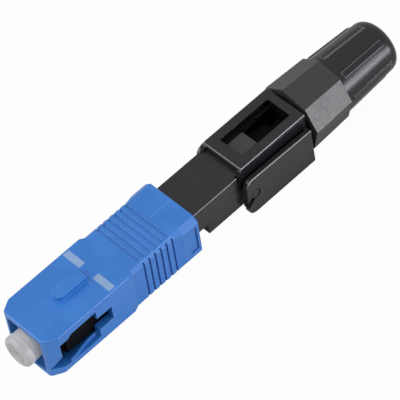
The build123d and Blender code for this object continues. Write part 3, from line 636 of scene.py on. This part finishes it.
def thread_profile(web, sizes):
    """A trapezoid with its narrow side outwards."""
    flat = web.add(
        "GeometryNodeCurvePrimitiveQuadrilateral",
        {"mode": "TRAPEZOID"},
        {
            "Height": sizes["Height"],
            "Bottom Width": sizes["Foot Width"],
            "Top Width": sizes["Crest Width"],
            "Offset": 0.0,
        },
    )
    return turned_round(web, flat.outputs[0], (0.0, 0.0, -QUARTER_TURN))


def turned_round(web, geometry, angles):
    """A geometry turned by three angles."""
    turn = web.add("GeometryNodeTransform", {}, {"Geometry": geometry, "Rotation": angles})
    return turn.outputs[0]


def thread_tree(material):
    """A node group that makes a thread along Y from named sizes."""
    tree = bpy.data.node_groups.new("thread", "GeometryNodeTree")
    tree.interface.new_socket("Geometry", in_out="OUTPUT", socket_type="NodeSocketGeometry")
    for name in THREAD_SIZES:
        tree.interface.new_socket(name, in_out="INPUT", socket_type="NodeSocketFloat")
    web = NodeWeb(tree)
    sizes = web.add("NodeGroupInput").outputs
    along = Signal(web, web.add("GeometryNodeSplineParameter").outputs["Factor"])
    fade = Signal(web, sizes["Fade"])
    size = along.ramp(0.0, fade) * (1 - along.ramp(1 - fade, 1.0))
    path = web.add(
        "GeometryNodeSetCurveRadius", {}, {"Curve": thread_path(web, sizes), "Radius": size}
    ).outputs[0]
    profile = thread_profile(web, sizes)
    swept = web.add(
        "GeometryNodeCurveToMesh",
        {},
        {"Curve": path, "Profile Curve": profile, "Scale": size, "Fill Caps": True},
    )
    lying = turned_round(web, swept.outputs[0], (-QUARTER_TURN, 0.0, 0.0))
    real = web.add("GeometryNodeRealizeInstances", {}, {0: lying})
    coloured = web.add("GeometryNodeSetMaterial", {}, {"Geometry": real.outputs[0], "Material": material})
    web.add("NodeGroupOutput", {}, {0: coloured.outputs[0]})
    return tree

# %% [markdown]
# A modifier's inputs are set by their identifiers before it is first evaluated. The result is then
# read as a plain mesh, and its place is put into the mesh, because the object has to stay at the origin.

# %% From a node group to a plain mesh
def grown(name, tree, sizes, place):
    """The plain mesh that a node group makes from these sizes, moved to its place."""
    seed = bpy.data.objects.new(name + "_seed", bpy.data.meshes.new(name + "_seed"))
    bpy.context.scene.collection.objects.link(seed)
    growth = seed.modifiers.new("growth", "NODES")
    growth.node_group = tree
    for item in tree.interface.items_tree:
        if item.in_out == "INPUT":
            growth[item.identifier] = sizes[item.name]
    seed.update_tag()
    evaluated = seed.evaluated_get(bpy.context.evaluated_depsgraph_get())
    mesh = bpy.data.meshes.new_from_object(evaluated)
    mesh.transform(Matrix.Translation(place))
    piece = bpy.data.objects.new(name, mesh)
    bpy.context.scene.collection.objects.link(piece)
    bpy.data.objects.remove(seed)
    print(name, "faces:", len(mesh.polygons))
    return piece

# %% Grow the thread on the tail
THREAD_PITCH = 1.0 * MM
THREAD_DEPTH = 0.23 * MM
THREAD_SUNK = 0.05 * MM
THREAD_FOOT, THREAD_CREST = 0.80 * MM, 0.22 * MM
THREAD_FADE = 0.12
THREAD_START = nut_start + 0.3 * MM
THREAD_END = tail_end - 0.35 * MM

thread_height = THREAD_DEPTH + THREAD_SUNK
thread_sizes = {
    "Middle Radius": tail_root - THREAD_SUNK + thread_height / 2,
    "Pitch": THREAD_PITCH,
    "Length": THREAD_END - THREAD_START,
    "Height": thread_height,
    "Foot Width": THREAD_FOOT,
    "Crest Width": THREAD_CREST,
    "Fade": THREAD_FADE,
}
thread = grown("tail_thread", thread_tree(satin_nut), thread_sizes, (0, THREAD_START, 0))
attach(thread, "core")

# %% [markdown]
# The photograph was taken from about 350 mm away with a long lens, from the front and one side,
# looking down at about 52 degrees. The camera is set by its place, the direction that it looks
# along, its roll and its focal length, because each of these can be fitted to a photograph.
# A focal length in pixels of the picture becomes a lens in millimetres by the sensor's width.

# %% Camera
IMAGE_PIXELS = 400
FOCAL_PIXELS = 2760.0
SENSOR_WIDTH = 36.0
NEAREST_SEEN = 0.01
AZIMUTH, ELEVATION, ROLL = (math.radians(angle) for angle in (52.597, 52.421, -9.512))
CAMERA_PLACE = Vector((169.381, -99.522, 276.288)) * MM

back = Vector((
    math.sin(AZIMUTH) * math.cos(ELEVATION),
    -math.cos(AZIMUTH) * math.cos(ELEVATION),
    math.sin(ELEVATION),
))
level_right = Vector((math.cos(AZIMUTH), math.sin(AZIMUTH), 0))
level_up = back.cross(level_right)
right = math.cos(ROLL) * level_right + math.sin(ROLL) * level_up
up = -math.sin(ROLL) * level_right + math.cos(ROLL) * level_up
camera_data = bpy.data.cameras.new("camera")
camera_data.sensor_width = SENSOR_WIDTH
camera_data.lens = FOCAL_PIXELS / IMAGE_PIXELS * SENSOR_WIDTH
camera_data.clip_start = NEAREST_SEEN
camera = bpy.data.objects.new("camera", camera_data)
camera.matrix_world = Matrix.Translation(CAMERA_PLACE) @ Matrix((right, up, back)).transposed().to_4x4()
bpy.context.scene.collection.objects.link(camera)
bpy.context.scene.camera = camera
print("lens in mm:", round(camera_data.lens, 1))

# %% [markdown]
# The object lies on a white table in soft light. A real white table would also light the object
# from below as strongly as it looks white. So the camera sees nearly pure white, and reflections
# see a share of it, but the light that reaches the object is that of a light grey surface. The
# share on the table is a little under 1, so that the object's shadow still shows.

# %% White to the lens
def white_to_lens(owner, shade, white_kind, share, gloss_share):
    """Mixes a share of plain white into a shader, for camera, transmission and glossy rays."""
    web = NodeWeb(owner.node_tree)
    rays = web.add("ShaderNodeLightPath").outputs
    seen = share * (Signal(web, rays["Is Camera Ray"]) + Signal(web, rays["Is Transmission Ray"]))
    seen = seen + gloss_share * Signal(web, rays["Is Glossy Ray"])
    white = web.add(white_kind, {}, {"Color": (1, 1, 1, 1), "Strength": 1.0})
    mix = web.add("ShaderNodeMixShader", {}, {0: seen, 1: shade.outputs[0], 2: white.outputs[0]})
    output = next(node for node in web.tree.nodes if node.type in ("OUTPUT_MATERIAL", "OUTPUT_WORLD"))
    web.feed(output.inputs["Surface"], mix.outputs[0])

# %% White table
TABLE_HALF = 1.2
TABLE_SHADE = 0.62
TABLE_SHARE = 0.97
TABLE_GLOSS = 0.03

table_mesh = bpy.data.meshes.new("table")
table_mesh.from_pydata(
    [(x * TABLE_HALF, y * TABLE_HALF, cad_low.z) for x, y in ((-1, -1), (1, -1), (1, 1), (-1, 1))],
    [],
    [(0, 1, 2, 3)],
)
table = bpy.data.objects.new("table", table_mesh)
bpy.context.scene.collection.objects.link(table)
table_finish = Finish("table_white")
table_finish.set(Base_Color=rgba(3 * (TABLE_SHADE,)), Roughness=0.9, Specular_IOR_Level=0.1)
white_to_lens(table_finish.material, table_finish.shader, "ShaderNodeEmission", TABLE_SHARE, TABLE_GLOSS)
table_mesh.materials.append(table_finish.material)
print("table at z in mm:", round(cad_low.z / MM, 2))

# %% White sky
SKY_LIGHT = 0.52
SKY_SHARE = 1.0
SKY_GLOSS = 0.30

world = bpy.data.worlds.new("sky")
world.use_nodes = True
sky = world.node_tree.nodes["Background"]
sky.inputs["Color"].default_value = (1, 1, 1, 1)
sky.inputs["Strength"].default_value = SKY_LIGHT
white_to_lens(world, sky, "ShaderNodeBackground", SKY_SHARE, SKY_GLOSS)
bpy.context.scene.world = world
print("sky light:", SKY_LIGHT)

# %% [markdown]
# Three soft lamps shape the black pieces. One lies overhead. One stands low at the right rear, where
# the bright facet of the nut mirrors it. A tall narrow one stands in front, and draws the soft line
# on the cover's rounded nose. Each is placed by its direction and distance from the middle.

# %% Soft lamps
def softbox(name, direction, distance, width, height, watts, colour=(1, 1, 1)):
    """An upright rectangular lamp that looks at the middle of the object."""
    middle = (cad_low + cad_high) / 2
    data = bpy.data.lights.new(name, "AREA")
    data.shape = "RECTANGLE"
    data.size = width
    data.size_y = height
    data.energy = watts
    data.color = colour
    lamp = bpy.data.objects.new(name, data)
    way = Vector(direction).normalized()
    lamp.location = middle + way * distance
    lamp.rotation_mode = "QUATERNION"
    lamp.rotation_quaternion = way.to_track_quat("Z", "Y")
    bpy.context.scene.collection.objects.link(lamp)
    print(name, "lamp:", watts, "W")


softbox("overhead", direction=(-0.05, -0.40, 0.92), distance=0.8, width=0.5, height=0.5, watts=2.8)
softbox(
    "right_rear", direction=(0.90, 0.42, 0.12), distance=0.7, width=0.26, height=0.30,
    watts=3.0, colour=(1.0, 0.975, 1.03),
)
softbox("front_left", direction=(-0.485, -0.80, 0.36), distance=0.8, width=0.2, height=0.65, watts=1.9)

# %% [markdown]
# The plain Standard view shows each colour as it was written.

# %% Plain view settings
bpy.context.scene.view_settings.view_transform = "Standard"
print("view transform:", bpy.context.scene.view_settings.view_transform)
